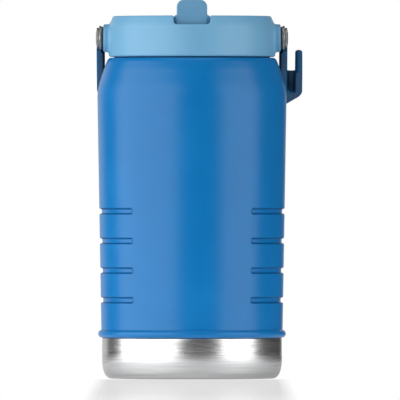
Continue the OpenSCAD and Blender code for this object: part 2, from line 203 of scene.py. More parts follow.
def surface(name, field, lo, hi, h, relax=3, place=None):
    """Meshes the zero level of a distance field (mm), then settles its points on the true surface and gives it the field's own normals."""
    lo, hi = np.array(lo, float) - 2 * h, np.array(hi, float) + 2 * h
    ax = [np.arange(lo[i], hi[i] + h, h) for i in range(3)]
    shape = tuple(len(a) for a in ax)
    f = np.empty(shape, np.float32)
    step = max(1, int(1.2e6 / (shape[1] * shape[2])))
    for i in range(0, shape[0], step):
        X, Y, Z = np.meshgrid(ax[0][i:i + step], ax[1], ax[2], indexing="ij")
        f[i:i + step] = field((X, Y, Z))
    s = f < 0
    corner = [(i, j, k) for i in (0, 1) for j in (0, 1) for k in (0, 1)]
    cs = tuple(x - 1 for x in shape)
    count = np.zeros(cs, np.int8)
    for i, j, k in corner:
        count += s[i:i + cs[0], j:j + cs[1], k:k + cs[2]]
    cells = np.argwhere((count > 0) & (count < 8))
    index = np.full(cs, -1, np.int64)
    index[tuple(cells.T)] = np.arange(len(cells))
    pos, hits = np.zeros((len(cells), 3)), np.zeros(len(cells))
    for a in corner:
        for b in corner:
            if sum(abs(a[i] - b[i]) for i in range(3)) == 1 and a < b:
                fa = f[cells[:, 0] + a[0], cells[:, 1] + a[1], cells[:, 2] + a[2]].astype(float)
                fb = f[cells[:, 0] + b[0], cells[:, 1] + b[1], cells[:, 2] + b[2]].astype(float)
                cross = (fa < 0) != (fb < 0)
                t = np.where(cross, fa / np.where(fa == fb, 1, fa - fb), 0)
                pos[cross] += (np.array(a) + t[:, None] * (np.array(b) - np.array(a)))[cross]
                hits += cross
    v = lo + (cells + pos / hits[:, None]) * h
    quads = []
    for d in range(3):
        e, g = [k for k in range(3) if k != d]
        a, b = [slice(None)] * 3, [slice(None)] * 3
        a[d], b[d] = slice(0, -1), slice(1, None)
        change = s[tuple(a)] != s[tuple(b)]
        at = np.argwhere(change)
        at = at[(at[:, e] > 0) & (at[:, g] > 0) & (at[:, e] < shape[e] - 1) & (at[:, g] < shape[g] - 1)]
        first = s[tuple(a)][tuple(at.T)]
        ring = []
        for oe, og in ((-1, -1), (0, -1), (0, 0), (-1, 0)):
            c = at.copy()
            c[:, e] += oe
            c[:, g] += og
            ring.append(index[tuple(c.T)])
        q = np.stack(ring, 1)
        turn = first if d != 1 else ~first
        q[~turn] = q[~turn][:, ::-1]
        quads.append(q)
    quads = np.concatenate(quads)
    eps = 0.02 * h

    def slope(p):
        g = np.stack([field(tuple((p + eps * np.eye(3)[i]).T)) - field(tuple((p - eps * np.eye(3)[i]).T)) for i in range(3)], 1) / (2 * eps)
        return g

    def settle(p, n=2):
        for _ in range(n):
            g = slope(p)
            d = field(tuple(p.T))
            move = -d[:, None] * g / np.maximum((g * g).sum(1), 0.05)[:, None]
            size = np.linalg.norm(move, axis=1)
            p = p + move * np.minimum(1, h / np.maximum(size, 1e-9))[:, None]
        return p

    v = settle(v, 2)
    for _ in range(relax):
        total, num = np.zeros_like(v), np.zeros(len(v))
        for i in range(4):
            np.add.at(total, quads[:, i], v[quads[:, (i + 1) % 4]] + v[quads[:, (i - 1) % 4]])
            np.add.at(num, quads[:, i], 2)
        v = settle(0.4 * v + 0.6 * total / num[:, None], 1)
    v = settle(v, 2)
    normal = slope(v)
    normal /= np.maximum(np.linalg.norm(normal, axis=1), 1e-9)[:, None]
    if place is not None:
        v, normal = place(v, normal)
    return new_mesh(name, v, quads, normal)


# ---------------------------------------------------------------- materials
def lin(c):
    return tuple(x / 12.92 if x <= 0.04045 else ((x + 0.055) / 1.055) ** 2.4 for x in c)


class Mat:
    """A node material built round one Principled shader. Positions are the piece's own, in metres, so the finish stays on it."""

    def __init__(self, name, rough=0.5, metallic=0.0, **sockets):
        self.m = bpy.data.materials.new(name)
        self.m.use_nodes = True
        self.t = self.m.node_tree
        self.t.nodes.clear()
        self.out = self.t.nodes.new("ShaderNodeOutputMaterial")
        self.b = self.t.nodes.new("ShaderNodeBsdfPrincipled")
        self.t.links.new(self.b.outputs[0], self.out.inputs[0])
        self.b.inputs["Roughness"].default_value = rough
        self.b.inputs["Metallic"].default_value = metallic
        for k, v in sockets.items():
            self.b.inputs[k.replace("_", " ")].default_value = v
        self.co = self.t.nodes.new("ShaderNodeTexCoord").outputs["Object"]
        self.bumps = []

    def node(self, kind, **inputs):
        n = self.t.nodes.new("ShaderNode" + kind)
        for k, v in inputs.items():
            s = n.inputs[int(k[1:])] if k[0] == "i" and k[1:].isdigit() else n.inputs[k.replace("_", " ")]
            if isinstance(v, bpy.types.NodeSocket):
                self.t.links.new(v, s)
            else:
                s.default_value = v
        return n

    def math(self, op, a, b=0.0, c=None, clamp=False):
        n = self.node("Math", i0=a, i1=b)
        n.operation = op
        n.use_clamp = clamp
        if c is not None:
            if isinstance(c, bpy.types.NodeSocket):
                self.t.links.new(c, n.inputs[2])
            else:
                n.inputs[2].default_value = c
        return n.outputs[0]

    def scaled(self, x=1, y=1, z=1, source=None):
        n = self.node("Mapping", Vector=source or self.co)
        n.inputs["Scale"].default_value = (x, y, z)
        return n.outputs[0]

    def noise(self, scale, detail=3.0, rough=0.55, source=None, distortion=0.0):
        return self.node("TexNoise", Vector=source or self.co, Scale=scale, Detail=detail, Roughness=rough,
                         Distortion=distortion).outputs[0]

    def ramp(self, fac, stops):
        n = self.node("ValToRGB", Fac=fac)
        e = n.color_ramp.elements
        while len(e) < len(stops):
            e.new(0.5)
        for el, (pos, col) in zip(e, stops):
            el.position = pos
            el.color = (*col, 1) if len(col) == 3 else col
        return n.outputs[0]

    def remap(self, v, a, b, c, d):
        return self.node("MapRange", Value=v, From_Min=a, From_Max=b, To_Min=c, To_Max=d).outputs[0]

    def mix(self, fac, a, b):
        n = self.t.nodes.new("ShaderNodeMix")
        n.data_type = "RGBA"
        for s, v in ((n.inputs[0], fac), (n.inputs[6], a), (n.inputs[7], b)):
            if isinstance(v, bpy.types.NodeSocket):
                self.t.links.new(v, s)
            else:
                s.default_value = v if isinstance(v, float) else (*v, 1)
        return n.outputs[2]

    def link(self, v, socket):
        self.t.links.new(v, self.b.inputs[socket])

    def bump(self, height, distance, strength=1.0):
        n = self.node("Bump", Height=height, Distance=distance, Strength=strength)
        if self.bumps:
            self.t.links.new(self.bumps[-1], n.inputs["Normal"])
        self.bumps.append(n.outputs[0])
        self.link(n.outputs[0], "Normal")

    def polar(self, axis="Z"):
        """Angle round the axis (0 to 1), radius and height, as sockets."""
        s = self.node("SeparateXYZ", Vector=self.co)
        x, y, z = s.outputs if axis == "Z" else (s.outputs[1], s.outputs[2], s.outputs[0])
        a = self.math("ARCTAN2", y, x)
        r = self.math("SQRT", self.math("ADD", self.math("MULTIPLY", x, x), self.math("MULTIPLY", y, y)))
        return self.math("MULTIPLY", a, 1 / (2 * math.pi)), r, z


def powder_coat(name, colour, deep, light):
    m = Mat(name, rough=0.29, IOR=1.42)
    big = m.noise(28, 2.0)
    fine = m.noise(1900, 2.0, 0.6)
    tone = m.ramp(big, [(0.25, lin(deep)), (0.5, lin(colour)), (0.78, lin(light))])
    fleck = m.remap(fine, 0.3, 0.72, 0.0, 1.0)
    # painted shade: the paint is darkened towards (0.010, 0.28, 0.47), and its reflection lowered, along the walls of
    # the pressed grooves where shade falls
    a, r, z = m.polar()
    a = m.math("ABSOLUTE", a)
    near = m.math("MULTIPLY", m.math("MINIMUM", a, m.math("SUBTRACT", 0.5, a)), 2 * math.pi)
    s = m.math("MAXIMUM", m.math("SUBTRACT", m.math("MULTIPLY", m.math("SUBTRACT", near, math.radians(GROOVE_A / 2)), 63.5), 0.75), 0.0)
    step = GROOVES[1] - GROOVES[0]
    k = m.math("ROUND", m.math("DIVIDE", m.math("SUBTRACT", m.math("MULTIPLY", z, 1 / MM), GROOVES[0]), step))
    k = m.math("MINIMUM", m.math("MAXIMUM", k, 0.0), len(GROOVES) - 1.0)
    zc = m.math("MULTIPLY_ADD", k, step, GROOVES[0])
    q = m.math("MAXIMUM", m.math("SUBTRACT", m.math("ABSOLUTE", m.math("SUBTRACT", m.math("MULTIPLY", z, 1 / MM), zc)), 1.05), 0.0)
    d = m.math("DIVIDE", m.math("SQRT", m.math("ADD", m.math("MULTIPLY", m.math("MULTIPLY", s, s), 0.45), m.math("MULTIPLY", q, q))), 1.25)
    groove_wall_shade = m.remap(m.math("ABSOLUTE", m.math("SUBTRACT", d, 0.62)), 0.62, 0.12, 0.0, 1.0)
    tone = m.mix(m.math("MULTIPLY", groove_wall_shade, 0.72), tone, lin((0.010, 0.28, 0.47)))
    m.link(m.remap(groove_wall_shade, 0.0, 1.0, 0.5, 0.18), "Specular IOR Level")
    m.link(m.mix(m.math("MULTIPLY", fleck, 0.10), tone, lin(light)), "Base Color")
    m.link(m.math("ADD", m.remap(big, 0.2, 0.8, 0.26, 0.30), m.math("MULTIPLY", fine, 0.04)), "Roughness")
    m.bump(m.noise(620, 2.0, 0.5), 0.00007, 0.4)
    m.bump(fine, 0.00003, 0.35)
    return m.m


def brushed(name, colour, axis="Z", rough=0.27, radial=False, aniso=0.75, strength=0.35, streaks=False):
    m = Mat(name, rough=rough, metallic=1.0, Anisotropic=aniso)
    a, r, z = m.polar(axis)
    along = m.math("MULTIPLY", a, 5.0)
    across = r if radial else z
    v = m.node("CombineXYZ", X=along, Y=m.math("MULTIPLY", across, 4200.0), Z=m.math("MULTIPLY", across, 300.0)).outputs[0]
    fine = m.noise(1.0, 5.0, 0.65, source=v)
    v2 = m.node("CombineXYZ", X=m.math("MULTIPLY", a, 9.0), Y=m.math("MULTIPLY", across, 900.0), Z=0.0).outputs[0]
    wide = m.noise(1.0, 3.0, 0.5, source=v2)
    d = tuple(c * 0.82 for c in colour)
    l = tuple(min(1, c * 1.08) for c in colour)
    base = m.ramp(m.math("MULTIPLY_ADD", wide, 0.45, m.math("MULTIPLY", fine, 0.55)), [(0.3, lin(d)), (0.52, lin(colour)), (0.75, lin(l))])
    if streaks:
        # painted reflection: warm darker streaks in the steel's colour, stronger up towards the bead, stand in for
        # reflections
        v3 = m.node("CombineXYZ", X=m.math("MULTIPLY", a, 26.0), Y=m.math("MULTIPLY", z, 1500.0), Z=0.0).outputs[0]
        reflection_streak = m.remap(m.noise(1.0, 3.0, 0.6, source=v3), 0.50, 0.74, 0.0, 1.0)
        top = m.remap(z, 0.012, 0.026, 0.12, 0.75)
        base = m.mix(m.math("MULTIPLY", reflection_streak, top), base, lin((0.60, 0.565, 0.53)))
        # painted shade: the steel's colour is darkened towards the foot of the heel
        heel = m.remap(z, 0.0125, 0.004, 0.0, 1.0)
        base = m.mix(m.math("MULTIPLY", heel, 0.8), base, lin((0.74, 0.74, 0.74)))
        wide = m.math("MULTIPLY_ADD", reflection_streak, 0.8, wide)
    m.link(base, "Base Color")
    satin = m.math("ADD", m.remap(fine, 0.25, 0.75, rough - 0.05, rough + 0.06), m.math("MULTIPLY", m.noise(60, 2.0), 0.03))
    if streaks:
        satin = m.math("MULTIPLY_ADD", m.remap(z, 0.0175, 0.010, 0.0, 1.0), 0.20, satin)
    m.link(satin, "Roughness")
    if streaks:
        m.bump(wide, 0.00004, 0.5)
    tan = m.node("Tangent")
    tan.direction_type = "RADIAL"
    tan.axis = axis
    m.link(tan.outputs[0], "Tangent")
    m.bump(fine, 0.000012, strength)
    return m.m


def moulded(name, colour, rough=0.42, grain=900, depth=0.00004, vary=0.05, coat=0.0, ior=1.47, sub=0.0):
    m = Mat(name, rough=rough, Coat_Weight=coat, Coat_Roughness=0.3, IOR=ior)
    if sub:
        m.b.inputs["Subsurface Weight"].default_value = sub
        m.b.inputs["Subsurface Radius"].default_value = (0.4, 0.6, 1.0)
        m.b.inputs["Subsurface Scale"].default_value = 0.0015
    big = m.noise(35, 3.0, 0.6)
    fine = m.noise(grain, 3.0, 0.6)
    d = tuple(max(0, c * (1 - vary)) for c in colour)
    l = tuple(min(1, c * (1 + vary)) for c in colour)
    m.link(m.ramp(m.math("MULTIPLY_ADD", fine, 0.35, m.math("MULTIPLY", big, 0.65)), [(0.28, lin(d)), (0.5, lin(colour)), (0.75, lin(l))]), "Base Color")
    m.link(m.math("ADD", m.remap(big, 0.2, 0.8, rough - 0.05, rough + 0.05), m.math("MULTIPLY", m.math("SUBTRACT", fine, 0.5), 0.12)), "Roughness")
    m.bump(fine, depth, 0.55)
    m.bump(m.noise(120, 1.0), 0.00006, 0.25)
    return m.m


def handle_finish(name, colour, inner):
    m = Mat(name, rough=0.46, IOR=1.40)
    big, fine = m.noise(35, 3.0, 0.6), m.noise(800, 3.0, 0.6)
    tone = m.ramp(m.math("MULTIPLY_ADD", fine, 0.35, m.math("MULTIPLY", big, 0.65)),
                  [(0.28, lin(tuple(c * 0.96 for c in colour))), (0.5, lin(colour)), (0.75, lin(tuple(c * 1.05 for c in colour)))])
    p = m.node("SeparateXYZ", Vector=m.co)
    # painted shade: a near-black strip on the inner side of each arm near the pivot, where shade falls between the arm
    # and the body
    side = m.math("ABSOLUTE", p.outputs[0])
    arm_inner_shade = m.math("MULTIPLY", m.remap(side, 0.0621, 0.0619, 0.0, 1.0), m.remap(side, 0.0592, 0.0596, 0.0, 1.0))
    arm_inner_shade = m.math("MULTIPLY", arm_inner_shade, m.remap(p.outputs[1], 0.046, 0.040, 0.0, 1.0))
    m.link(m.mix(arm_inner_shade, tone, lin(inner)), "Base Color")
    m.link(m.math("ADD", m.remap(big, 0.2, 0.8, 0.42, 0.50), m.math("MULTIPLY", m.math("SUBTRACT", fine, 0.5), 0.12)), "Roughness")
    m.bump(fine, 0.00005, 0.5)
    m.bump(m.noise(120, 1.0), 0.00006, 0.25)
    return m.m


def polished(name, colour, rough=0.13, axis="X"):
    m = Mat(name, rough=rough, metallic=1.0, Anisotropic=0.35)
    a, r, z = m.polar(axis)
    v = m.node("CombineXYZ", X=m.math("MULTIPLY", a, 3.0), Y=m.math("MULTIPLY", r, 5200.0), Z=m.math("MULTIPLY", z, 900.0)).outputs[0]
    fine = m.noise(1.0, 4.0, 0.6, source=v)
    m.link(m.ramp(fine, [(0.3, lin(tuple(c * 0.9 for c in colour))), (0.7, lin(colour))]), "Base Color")
    m.link(m.remap(fine, 0.25, 0.75, rough - 0.03, rough + 0.07), "Roughness")
    m.bump(fine, 0.000006, 0.3)
    return m.m


M = {
    "shell": powder_coat("shell_powder_coat", (0.020, 0.470, 0.745), (0.016, 0.458, 0.732), (0.040, 0.492, 0.768)),
    "base": brushed("base_brushed_steel", (0.88, 0.88, 0.88), rough=0.19, strength=0.6, streaks=True),
    "under": brushed("under_spun_steel", (0.76, 0.75, 0.735), radial=True, rough=0.32),
    "liner": brushed("liner_satin_steel", (0.72, 0.72, 0.71), rough=0.34, strength=0.2),
    "lid": moulded("lid_light_blue", (0.470, 0.712, 0.862), rough=0.40, grain=1100, depth=0.00003, vary=0.02, coat=0.06),
    # painted shade: the spout's blue is set a little darker than the lid's, for the shade the tab stands in
    "spout": moulded("spout_blue", (0.415, 0.632, 0.775), rough=0.42, grain=1100, depth=0.00003, vary=0.02),
    # the second colour is the painted shade on the arms' inner sides
    "handle": handle_finish("handle_deep_blue", (0.060, 0.355, 0.53), (0.012, 0.055, 0.10)),
    "plug": moulded("plug_pale", (0.76, 0.83, 0.87), rough=0.38, grain=700, vary=0.02, sub=0.15),
    # painted shade: the gasket is made dark slate blue so that it reads as the shadow line under the lid
    "gasket": moulded("gasket_painted_shade", (0.10, 0.19, 0.26), rough=0.6, grain=500, vary=0.04),
    "silicone": moulded("silicone_grey", (0.60, 0.62, 0.64), rough=0.62, grain=500, vary=0.03),
    "straw": moulded("straw_pale", (0.82, 0.87, 0.90), rough=0.22, grain=300, vary=0.02, coat=0.2, sub=0.3),
    "washer": moulded("washer_black", (0.24, 0.255, 0.265), rough=0.5, grain=900, vary=0.15),
    "bright": polished("bolt_satin_steel", (0.72, 0.72, 0.715), rough=0.38),
    "pin": polished("pin_polished_steel", (0.76, 0.755, 0.745), rough=0.2),
    "brass": polished("insert_turned_brass", (0.78, 0.62, 0.33), rough=0.25),
    "getter": moulded("getter_sintered", (0.34, 0.33, 0.31), rough=0.75, grain=2600, depth=0.0001, vary=0.3),
    "seal": moulded("seal_fused_bead", (0.16, 0.17, 0.18), rough=0.2, grain=300, vary=0.2, coat=0.4),
}


def dress(ob, key, body, slot, *nodes):
    ob.data.materials.clear()
    ob.data.materials.append(M[key])
    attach(ob, body)
    if nodes:
        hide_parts(*nodes)
    return ob


for node, key in {"vacuum_seal_plug": "seal", "getter": "getter", "inner_liner": "liner", "lid_plug": "plug", "vent_valve": "silicone",
                  "spout_seal": "silicone", "spout_pins": "pin", "pivot_insert_left": "brass", "pivot_insert_right": "brass",
                  "straw_tube": "straw", "straw_socket": "silicone"}.items():
    NODES[node].data.materials.clear()
    NODES[node].data.materials.append(M[key])


# ---------------------------------------------------------------- painted shell
def wall_r(z):
    return SHELL_LOW + (SHELL_R - 0.02 - SHELL_LOW) * (z - (BEAD_Z + BEAD_S)) / (RIM - 26.4 - BEAD_Z - BEAD_S)


def shoulder(d):
    return (cubic((SHELL_R - 0.05 - d, RIM - 27.5), (SHELL_R + 0.05 - d, RIM - 20.5), (SHELL_R - 2.3 - d, RIM - 15.6), (SHELL_R - 4.35 - d, RIM - 8.3 - d * 0.3), 26)
            + cubic((SHELL_R - 5.2 - d, RIM - 6.0 - d * 0.4), (SHELL_R - 6.6 - d, RIM - 2.6 - d * 0.5), (SHELL_R - 7.0 - d, RIM - d), (SHELL_R - 9.6 - d * 0.5, RIM - d), 16))


def groove_depth(th, z):
    """How far the pressed grip grooves go in at an angle and a height, in mm."""
    near = np.minimum(np.abs((th + math.pi) % (2 * math.pi) - math.pi), np.abs((th % (2 * math.pi)) - math.pi))
    s = np.maximum((near - math.radians(GROOVE_A / 2)) * 63.5 - 0.75, 0)
    out = np.zeros_like(th)
    for zc in GROOVES:
        t = np.clip(np.hypot(s, np.maximum(np.abs(z - zc) - 1.05, 0)) / 1.25, 0, 1)
        out = np.maximum(out, GROOVE_D * (1 - t * t * (3 - 2 * t)))
    return out


def make_shell():
    zs = [BEAD_Z + BEAD_S + 0.3, BEAD_Z + BEAD_S + 3]
    for zc in GROOVES:
        zs += [zc - 8] + list(zc + np.linspace(-2.6, 2.6, 35)) + [zc + 8]
    zs += list(np.linspace(GROOVES[-1] + 14, RIM - 34, 8))
    zs = sorted(set(round(z, 3) for z in zs))
    bead_c = wall_r(BEAD_Z + BEAD_S) - 0.5
    outside = arc(bead_c, BEAD_Z, BEAD_S, BEAD_S, -90, 76, 26) + [(wall_r(z), z) for z in zs] + shoulder(0)
    inside = shoulder(SHELL_T)[::-1] + [(wall_r(z) - SHELL_T, z) for z in zs[::-1]] + arc(bead_c, BEAD_Z, BEAD_S - SHELL_T, BEAD_S - SHELL_T, 66, -90, 14)
    profile = outside + [(52.02, RIM), (52.02, RIM - SHELL_T)] + inside
    th = set(np.round(np.linspace(0, 360, 240, endpoint=False), 3))
    for c in (GROOVE_A / 2, 180 - GROOVE_A / 2, 180 + GROOVE_A / 2, 360 - GROOVE_A / 2):
        th = {t for t in th if abs(t - c) > 2.9} | set(np.round(np.linspace(c - 2.9, c + 2.9, 29), 3))
    th = np.radians(sorted(th))
    return lathe("shell_painted", profile, th, offset=lambda t, r, z: -groove_depth(t, z) * ((z > 40) & (z < 130)), sharp=50)


dress(make_shell(), "shell", "jug", "shell_paint", "outer_shell")


# ---------------------------------------------------------------- steel base
def make_base():
    t = 0.8
    heel = cubic((BASE_R - 6.5, 0.02), (BASE_R - 1.1, 0.2), (BASE_R, 8.0), (BASE_R, 13.5), 30)
    outside = ([(1.0, 5.0)] + fillet([(5.6, 5.0, 0.5), (6.6, 3.4, 0.8), (45.2, 3.4, 1.2), (48.0, 0.0, 1.6), (BASE_R - 7.0, 0.0, 0)][:4], 4)[0:]
               + [(BASE_R - 7.0, 0.0)] + heel + [(BASE_R, z) for z in (17, 21, 25)]
               + [(BASE_R, BEAD_Z - BEAD_S - 0.6), (BASE_R - 0.12, BEAD_Z - BEAD_S - 0.3), (BASE_R - 0.5, BEAD_Z - BEAD_S - 0.02),
                  (BASE_R - 0.85, BEAD_Z - BEAD_S + 0.4), (BASE_R - 0.85, BEAD_Z + 3.6), (wall_r(BEAD_Z + 4.6) - SHELL_T - 0.02, BEAD_Z + 4.6),
                  (wall_r(BEAD_Z + 9) - SHELL_T - 0.02, BEAD_Z + 9)])
    inside = ([(wall_r(BEAD_Z + 9) - SHELL_T - t, BEAD_Z + 9), (wall_r(BEAD_Z + 4.6) - SHELL_T - t, BEAD_Z + 5.0), (BASE_R - 0.85 - t, BEAD_Z + 4.2),
               (BASE_R - 0.85 - t, BEAD_Z - BEAD_S + 0.2), (BASE_R - t, BEAD_Z - BEAD_S - 1.0)]
              + cubic((BASE_R - t, 13.5), (BASE_R - t, 8.4), (BASE_R - 2.0, 1.0), (BASE_R - 6.5, t), 12)
              + [(BASE_R - 7.0, t), (49.0, t), (47.9, 1.2), (45.7, 3.4 + t), (7.0, 3.4 + t), (6.0, 5.0 + t), (1.0, 5.0 + t)])
    return lathe("base_steel", outside + inside, 288, sharp=38)


dress(make_base(), "base", "jug", "base_steel", "base_cup")
disc = lathe("base_disc", [(0, 2.62)] + [(r, 2.62) for r in (10, 24, 38)] + arc(43.6, 2.95, 0.35, 0.33, -90, 90, 8) + [(38, 3.32), (0, 3.32)], 192, sharp=60)
dress(disc, "under", "jug", "base_steel", "base_cover_disc")
gasket = lathe("gasket_ring", fillet([(49.6, RIM + 0.05, 0.4), (53.8, RIM + 0.05, 0.6), (53.8, RIM + 1.55, 0.6), (49.6, RIM + 1.55, 0.4)], 4), 192, sharp=60)
dress(gasket, "gasket", "gasket", "silicone", "lid_gasket")


# ---------------------------------------------------------------- lid cap
LID_SECTION = fillet([(54.6, LID_Z, 0.3), (57.5, LID_Z, 2.5), (57.5, 243.2, 11), (54.75, 249.3, 0.8), (54.2, 250, 0.5),
                      (0, 250, 0), (0, 247.4, 0), (LID_R - 5.6, 247.4, 1.0), (LID_R - 2.9, 241.5, 1.0)], 6)


def lid_field(p):
    x, y, z = p
    r = np.hypot(x, y)
    skin = f_poly(r, z, [(-1, 250) if q == (0, 250) else (-1, 247.4) if q == (0, 247.4) else q for q in LID_SECTION])
    half = CHANNEL / 2
    inner = np.maximum(r - (LID_R - 2), np.maximum(LID_Z - z, z - (LID_TOP - 1)))
    blocks = np.minimum(f_box(p, (0, -18.7, 241.1), (half + 2.6, 35.9, 6.7)), f_box(p, (0, HUB_Y - 0.2, 238.7), (half + 2.6, HUB_R + 3.8, 9.0)))
    blocks = np.minimum(blocks, f_box(p, (0, HUB_Y, 242.1), (half + 5.6, 6, 5.7)))
    boss_in = f_cyl((np.abs(x), y, z), (51, 0, PIVOT_Z), 0, 6.8, 5)
    solid = smin(skin, np.maximum(np.minimum(blocks, boss_in), inner), 0.8)
    boss = f_cyl((np.abs(x), y, z), (56.55, 0, PIVOT_Z), 0, BOSS_R, BOSS_X - 56.55, 0.75)
    boss = np.maximum(boss, 55.0 - np.abs(x))
    solid = smin(solid, boss, 1.6)
    channel = f_box(p, (0, (HUB_Y - 53.2) / 2, 258), (half, (53.2 + HUB_Y) / 2, 21), 1.1)
    well = f_box(p, (0, HUB_Y - 0.25, 257), (half, HUB_R + 1.15, 25), 0.9)
    cut = smin(channel, well, 0.4)
    solid = smax(solid, -cut, 1.1)
    q0, q1 = np.abs(x) - (half - 2.4), np.abs(z - 256) - (12 - 2.4)
    d2 = np.hypot(np.maximum(q0, 0), np.maximum(q1, 0)) + np.minimum(np.maximum(q0, q1), 0) - 2.4
    solid = smax(solid, -np.maximum(d2, np.abs(y + 55) - 7), 0.7)
    solid = np.maximum(solid, -f_cyl(p, (0, HUB_Y, 230), 2, 6, 5))
    solid = np.maximum(solid, -f_cyl(p, (9, HUB_Y, 230), 2, 1, 5))
    solid = np.maximum(solid, -f_cyl((np.abs(x), y, z), (13.8, HUB_Y, HUB_Z), 0, 1.5, 2.8))
    solid = np.maximum(solid, -f_cyl((np.abs(x), y, z), (51.6, 0, PIVOT_Z), 0, 4, 7.6))
    solid = np.maximum(solid, -f_cyl((np.abs(x), y, z), (61, 0, PIVOT_Z), 0, 3.55, 4))
    return solid


GRID = 1.0
lid = surface("lid_cap", lid_field, (-BOSS_X - 0.07, -LID_R - 0.11, LID_Z - 0.23), (BOSS_X, LID_R, LID_TOP), 0.6 * GRID, relax=3)
dress(lid, "lid", "lid", "lid_plastic", "lid_shell")


# ---------------------------------------------------------------- spout
def spout_field(p):
    x, y, z = p
    w = SPOUT_W
    hub = f_cyl(p, (0, HUB_Y, HUB_Z), 0, HUB_R, CHANNEL / 2 - 0.4, 0.7)
    body = f_box(p, (0, (SPOUT_FRONT + HUB_Y) / 2, 242.85), (w, (HUB_Y - SPOUT_FRONT) / 2, 5.15), 1.6)
    edge = [(SPOUT_FRONT + 6.5, 237.72), (SPOUT_FRONT + 2.3, 237.72), (SPOUT_FRONT + 1.7, 242), (SPOUT_FRONT + 1.0, 245.5), (SPOUT_FRONT + 0.2, 248.6),
            (SPOUT_FRONT, 250.2), (SPOUT_FRONT + 3.4, 250.2), (SPOUT_FRONT + 6.5, 247.9)]
    lip = f_extrude(f_poly(y, z, fillet([(q[0], q[1], f) for q, f in zip(edge, (1, 0.8, 3, 6, 4, 1.3, 1, 2))], 4)), np.abs(x) - (CHANNEL / 2 - 0.5), 0.9)
    q0, q1 = np.abs(x) - (10.5 - 5), np.abs(z - (TAB_TOP - 11)) - (11 - 5)
    d2 = np.hypot(np.maximum(q0, 0), np.maximum(q1, 0)) + np.minimum(np.maximum(q0, q1), 0) - 5
    tab = f_extrude(d2, np.abs(y - (SPOUT_FRONT + 1.65)) - 1.4, 0.9)
    f = smin(smin(body, hub, 1.4), smin(lip, tab, 0.8), 1.2)
    f = np.maximum(f, -(y - SPOUT_FRONT))
    slot = f_box(p, (0, SPOUT_FRONT + 3.5, 240.95), (5.4, 4.5, 2.05), 1.0)
    f = smax(f, -slot, 0.7)
    f = smax(f, -f_cyl(p, (0, -14, HUB_Z), 1, 3.2, 31), 0.5)
    f = smax(f, -f_cyl(p, (0, 12, HUB_Z), 1, 3.2, 6), 0.5)
    return np.maximum(f, -f_cyl((np.abs(x), y, z), (11, HUB_Y, HUB_Z), 0, 1.54, 6))


spout = surface("spout_flip", spout_field, (-12.2, -51, 234.4), (12.2, 13.6, TAB_TOP), 0.42 * GRID, relax=3)
dress(spout, "spout", "spout", "spout_plastic", "spout")


# ---------------------------------------------------------------- handle
def bail():
    l, a, grip = HANDLE_L, 34.5, 7.5
    cx, cy, ri = ARM_OUT - a, l - a, ARM_IN - (ARM_OUT - a)
    slot, floor = ARM_OUT + HOOK_GAP, 58.4
    tip = slot + PRONG_T

    def quad(p, q, s, n):
        p, q, s = (np.array(v, float) for v in (p, q, s))
        return [tuple(p * (1 - t) ** 2 + q * 2 * t * (1 - t) + s * t * t) for t in np.linspace(0, 1, n + 1)]
    return ([(-ARM_OUT, 1.5)] + arc(-cx, cy, a, a, 180, 90, 30) + quad((cx + 8.6, l), (cx + 22.05, l), (62, l - 9.7), 12)
            + quad((tip - 3.25, l - 22.3), (tip, l - 26.0), (tip, l - 31), 10)
            + [(tip, 32.6)] + arc(tip - 2.3, 32.6, 2.3, 2.3, 0, -90, 8) + arc(slot + 2.3, 32.6, 2.3, 2.3, -90, -180, 8)
            + [(slot, floor - 1.8)] + arc(slot - 1.8, floor - 1.8, 1.8, 1.8, 0, 90, 6) + arc(ARM_OUT + 1.8, floor - 1.8, 1.8, 1.8, 90, 180, 6)
            + [(ARM_OUT, 1.5), (ARM_IN, 1.5)] + arc(cx, cy, ri, a - grip, 0, 90, 26) + arc(-cx, cy, ri, a - grip, 90, 180, 26) + [(-ARM_IN, 1.5)])


BAIL = bail()
gu, gv = np.arange(-70, 81, 0.25), np.arange(-3, 94, 0.25)
_U, _V = np.meshgrid(gu, gv, indexing="ij")
BAIL_GRID = f_poly(_U, _V, BAIL)


def bail_distance(u, v):
    """The outline's distance, read from a fine table with smooth steps between its points."""
    i = np.clip((u - gu[0]) / 0.25, 0, len(gu) - 1.001)
    j = np.clip((v - gv[0]) / 0.25, 0, len(gv) - 1.001)
    i0, j0 = i.astype(int), j.astype(int)
    a, b = i - i0, j - j0
    g = BAIL_GRID
    return (g[i0, j0] * (1 - a) * (1 - b) + g[i0 + 1, j0] * a * (1 - b) + g[i0, j0 + 1] * (1 - a) * b + g[i0 + 1, j0 + 1] * a * b)


def handle_field(p):
    u, v, n = p
    f = f_extrude(bail_distance(u, v), np.abs(n) - STRAP / 2, 1.5)
    au = np.abs(u)
    seat = np.maximum(np.hypot(v, n) - 8.9, 0 * u - 1)
    seat = np.maximum(seat, ARM_IN - 1 - au)
    f = smax(f, -seat, 0.6)
    relief = np.maximum(np.hypot(v, n) - 10.1, np.maximum(au - (LUG_IN - 0.1), ARM_IN - 1 - au))
    return smax(f, -relief, 0.4)


def place_folded(v, n):
    c, s = math.cos(TILT), math.sin(TILT)

    def turn(q):
        return np.stack([q[:, 0], q[:, 1] * c + q[:, 2] * s, -q[:, 1] * s + q[:, 2] * c], 1)
    return turn(v) + np.array([0, 0, PIVOT_Z]), turn(n)


handle = surface("handle_bail", handle_field, (-ARM_OUT, 1, -STRAP / 2), (ARM_OUT + HOOK_GAP + PRONG_T, HANDLE_L, STRAP / 2), 0.55 * GRID, relax=2, place=place_folded)
dress(handle, "handle", "handle", "handle_plastic", "handle_frame")


